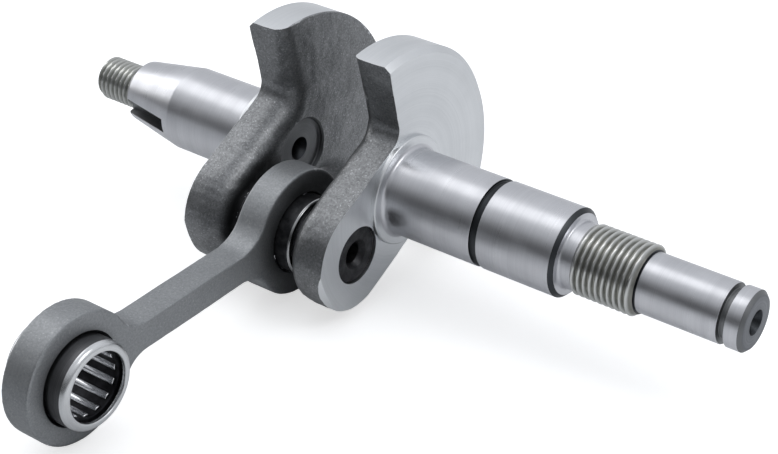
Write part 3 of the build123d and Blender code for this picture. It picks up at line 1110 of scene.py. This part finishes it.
def build_camera():
    """The camera at the object's own viewing angle."""
    a, e = camera_azimuth, camera_elevation
    back = Vector((sin(a) * cos(e), -cos(a) * cos(e), sin(e)))
    right = Vector((cos(a), sin(a), 0))
    up = back.cross(right)
    data = bpy.data.cameras.new("camera")
    data.lens = camera_lens
    data.sensor_width = camera_sensor
    data.clip_start = 0.01
    data.clip_end = 50.0
    camera = bpy.data.objects.new("camera", data)
    bpy.context.scene.collection.objects.link(camera)
    place = (back * camera_distance + right * camera_right + up * camera_up) * MM
    turn = Matrix((right, up, back)).transposed().to_4x4()
    camera.matrix_world = Matrix.Translation(place) @ turn
    bpy.context.scene.camera = camera


def build_floor():
    """A plain pale floor under the lowest point."""
    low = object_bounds()[0].z
    half = floor_size / 2
    corners = [(-half, -half, low), (half, -half, low), (half, half, low), (-half, half, low)]
    floor = new_object("floor", corners, [[0, 1, 2, 3]])
    n = Nodes("pale_floor")
    n.put(n.surface.inputs["Roughness"], 0.9)
    n.put(n.surface.inputs["Specular IOR Level"], 0.1)
    seen = n.add("ShaderNodeLightPath").outputs["Is Camera Ray"]
    apart = n.add("ShaderNodeSeparateXYZ")
    n.put(apart.inputs[0], n.place)
    along_x = n.math("MULTIPLY", apart.outputs[0], floor_fade_direction[0])
    along_y = n.math("MULTIPLY", apart.outputs[1], floor_fade_direction[1])
    behind = n.ramp(n.math("ADD", along_x, along_y), *floor_fade)
    card = n.mix(behind, (0.55, 0.56, 0.57), (0.88, 0.885, 0.89))
    n.put(n.surface.inputs["Base Color"], n.mix(seen, card, (0.72, 0.725, 0.73)))
    n.put(n.surface.inputs["Emission Color"], (1.0, 1.0, 1.0, 1.0))
    n.put(n.surface.inputs["Emission Strength"], n.math("MULTIPLY", seen, floor_glow))
    floor.data.materials.append(n.material)


def build_world():
    """A studio dome: bright above and behind, dark towards the camera."""
    world = bpy.data.worlds.new("studio")
    bpy.context.scene.world = world
    world.use_nodes = True
    tree = world.node_tree
    sky = tree.nodes["Background"]
    place = tree.nodes.new("ShaderNodeTexCoord")
    lean = tree.nodes.new("ShaderNodeVectorMath")
    lean.operation = "DOT_PRODUCT"
    lean.inputs[1].default_value = dome_lean
    lift = tree.nodes.new("ShaderNodeMath")
    lift.operation = "ADD"
    lift.inputs[1].default_value = 0.5
    tree.links.new(place.outputs["Generated"], lean.inputs[0])
    tree.links.new(lean.outputs["Value"], lift.inputs[0])
    ramp = tree.nodes.new("ShaderNodeValToRGB")
    ramp.color_ramp.interpolation = "EASE"
    elements = ramp.color_ramp.elements
    while len(elements) < len(dome_stops):
        elements.new(0.5)
    for element, (at, value) in zip(elements, dome_stops):
        element.position = at
        element.color = (*(value * channel for channel in dome_tint), 1.0)
    tree.links.new(lift.outputs[0], ramp.inputs["Fac"])
    path = tree.nodes.new("ShaderNodeLightPath")
    mix = tree.nodes.new("ShaderNodeMixShader")
    pale = tree.nodes.new("ShaderNodeBackground")
    pale.inputs["Color"].default_value = (0.93, 0.935, 0.94, 1.0)
    tree.links.new(ramp.outputs["Color"], sky.inputs["Color"])
    tree.links.new(path.outputs["Is Camera Ray"], mix.inputs["Fac"])
    tree.links.new(sky.outputs[0], mix.inputs[1])
    tree.links.new(pale.outputs[0], mix.inputs[2])
    tree.links.new(mix.outputs[0], tree.nodes["World Output"].inputs["Surface"])


def build_softbox(name, direction, distance, length, width, brightness):
    """A soft light aimed at the object's middle, its length along the crank axis."""
    data = bpy.data.lights.new(name, "AREA")
    data.shape = "RECTANGLE"
    data.size = length
    data.size_y = width
    data.energy = brightness * pi * length * width
    light = bpy.data.objects.new(name, data)
    bpy.context.scene.collection.objects.link(light)
    away = Vector(direction).normalized()
    light.location = away * distance
    along = (Vector((1, 0, 0)) - away * away.x).normalized()
    turn = Matrix((along, away.cross(along), away)).transposed()
    light.rotation_mode = "QUATERNION"
    light.rotation_quaternion = turn.to_quaternion()


build_camera()
build_floor()
build_world()
build_softbox("top_softbox", (-0.52, 0.0, 0.85), distance=0.8, length=0.85, width=0.42, brightness=0.98)
build_softbox("left_softbox", (-0.94, -0.12, 0.32), distance=0.9, length=0.5, width=0.6, brightness=1.35)
build_softbox("right_softbox", (0.66, 0.1, 0.72), distance=0.8, length=0.3, width=0.3, brightness=3.2)
bpy.context.scene.view_settings.view_transform = "Standard"
